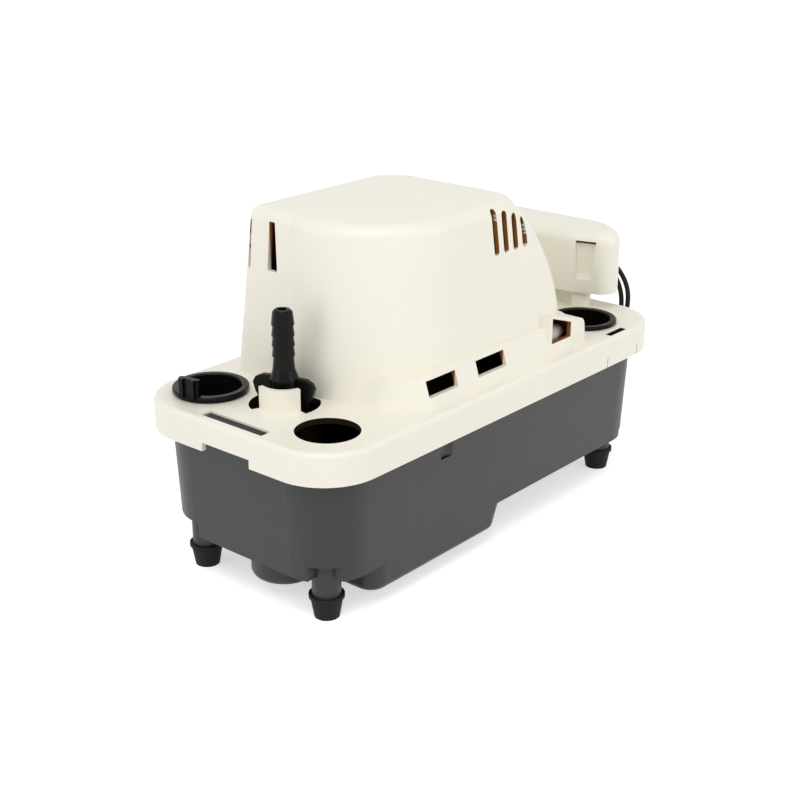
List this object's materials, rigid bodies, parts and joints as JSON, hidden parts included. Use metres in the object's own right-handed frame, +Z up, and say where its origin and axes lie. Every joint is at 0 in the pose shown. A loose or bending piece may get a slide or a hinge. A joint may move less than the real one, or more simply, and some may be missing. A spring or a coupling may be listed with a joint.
{
  "type": "condensate pump",
  "caption": "Condensate pump: dark tank on rubber feet, cream deck and motor hood, inlets, barbed check valve, float switch housing and switch leads.",
  "frame": {"origin": "floor under the centre of the pump's footprint, switch housing included", "axes": "-X towards the discharge end, +X towards the switch housing, +Z up"},
  "size_m": [0.3362, 0.1579, 0.177],
  "materials": {
    "cream_plastic": "satin moulded",
    "tank_plastic": "satin moulded",
    "black_plastic": "semi-gloss moulded",
    "foot_rubber": "matt",
    "lead_jacket": "smooth PVC",
    "steel": "bright drawn",
    "laminations": "blued laminated stack",
    "bracket_metal": "as cast",
    "bronze": "sintered",
    "coil_tape": "wound tape",
    "nylon_white": "satin moulded",
    "float_foam": "closed foam",
    "terminal_nylon": "translucent nylon"
  },
  "bodies": {
    "base": {"tank": "tank_plastic", "deck_cover": "cream_plastic", "motor_hood": "cream_plastic", "switch_cover": "cream_plastic", "switch_tray": "cream_plastic", "lead_grommet": "foot_rubber", "power_gland": "black_plastic", "inlet_adapter_rear": "black_plastic", "stator_core": "laminations", "coil_bobbin": "nylon_white", "motor_coil": "coil_tape", "lower_bracket": "bracket_metal", "upper_bracket": "bracket_metal", "lower_bearing": "bronze", "upper_bearing": "bronze", "motor_bolts": "steel", "volute_housing": "black_plastic", "volute_cover": "black_plastic", "volute_screws": "steel", "pump_column": "black_plastic", "column_bushing": "bronze", "discharge_tube": "black_plastic", "switch_bracket": "steel", "lever_pin": "steel", "run_switch": "black_plastic", "safety_switch": "black_plastic", "wire_connector": "nylon_white", "lead_a": "lead_jacket", "lead_b": "lead_jacket", "lead_a_coil": "lead_jacket", "lead_b_coil": "lead_jacket", "lead_a_terminal": "terminal_nylon", "lead_b_terminal": "terminal_nylon", "foot_front_left": "foot_rubber", "foot_front_right": "foot_rubber", "foot_rear_left": "foot_rubber", "foot_rear_right": "foot_rubber"},
    "rotating": {"rotor": "laminations", "motor_shaft": "steel", "cooling_fan": "black_plastic", "impeller": "black_plastic"},
    "float_assembly": {"float": "float_foam", "float_rod": "steel"},
    "lever": {"switch_lever": "nylon_white"},
    "run_plunger": {"run_switch_plunger": "nylon_white"},
    "safety_plunger": {"safety_switch_plunger": "nylon_white"},
    "check_valve": {"check_valve_body": "black_plastic", "check_valve_o_ring": "foot_rubber"},
    "valve_ball": {"check_valve_ball": "steel"},
    "left_adapter": {"inlet_adapter_left": "black_plastic"}
  },
  "joints": [
    {"name": "motor_spin", "type": "hinge", "parent": "base", "child": "rotating", "pos_m": [-0.036, 0, 0.1], "axis": [0, 0, 1], "continuous": true},
    {"name": "float_lift", "type": "slide", "parent": "base", "child": "float_assembly", "axis": [0, 0, 1], "range_m": [0, 0.016]},
    {"name": "lever_tilt", "type": "hinge", "parent": "base", "child": "lever", "pos_m": [0.12205, -0.002, 0.121], "axis": [1, 0, 0], "range_deg": [0, 25.4]},
    {"name": "run_press", "type": "slide", "parent": "base", "child": "run_plunger", "axis": [0, 0, -1], "range_m": [0, 0.00245]},
    {"name": "safety_press", "type": "slide", "parent": "base", "child": "safety_plunger", "axis": [0, 0, -1], "range_m": [0, 0.00245]},
    {"name": "valve_turn", "type": "hinge", "parent": "base", "child": "check_valve", "pos_m": [-0.103, 0, 0.09], "axis": [0, 0, 1], "range_deg": [-15, 30]},
    {"name": "ball_lift", "type": "slide", "parent": "check_valve", "child": "valve_ball", "axis": [0, 0, 1], "range_m": [0, 0.005]},
    {"name": "adapter_turn", "type": "hinge", "parent": "base", "child": "left_adapter", "pos_m": [-0.1147, 0.0387, 0.09], "axis": [0, 0, 1], "range_deg": [0, 60]}
  ],
  "couplings": [
    {"joint": "lever_tilt", "follows": "float_lift", "rad_per_m": 27.6},
    {"joint": "run_press", "follows": "float_lift", "ratio": 0.1518},
    {"joint": "safety_press", "follows": "float_lift", "ratio": 0.1518}
  ]
}
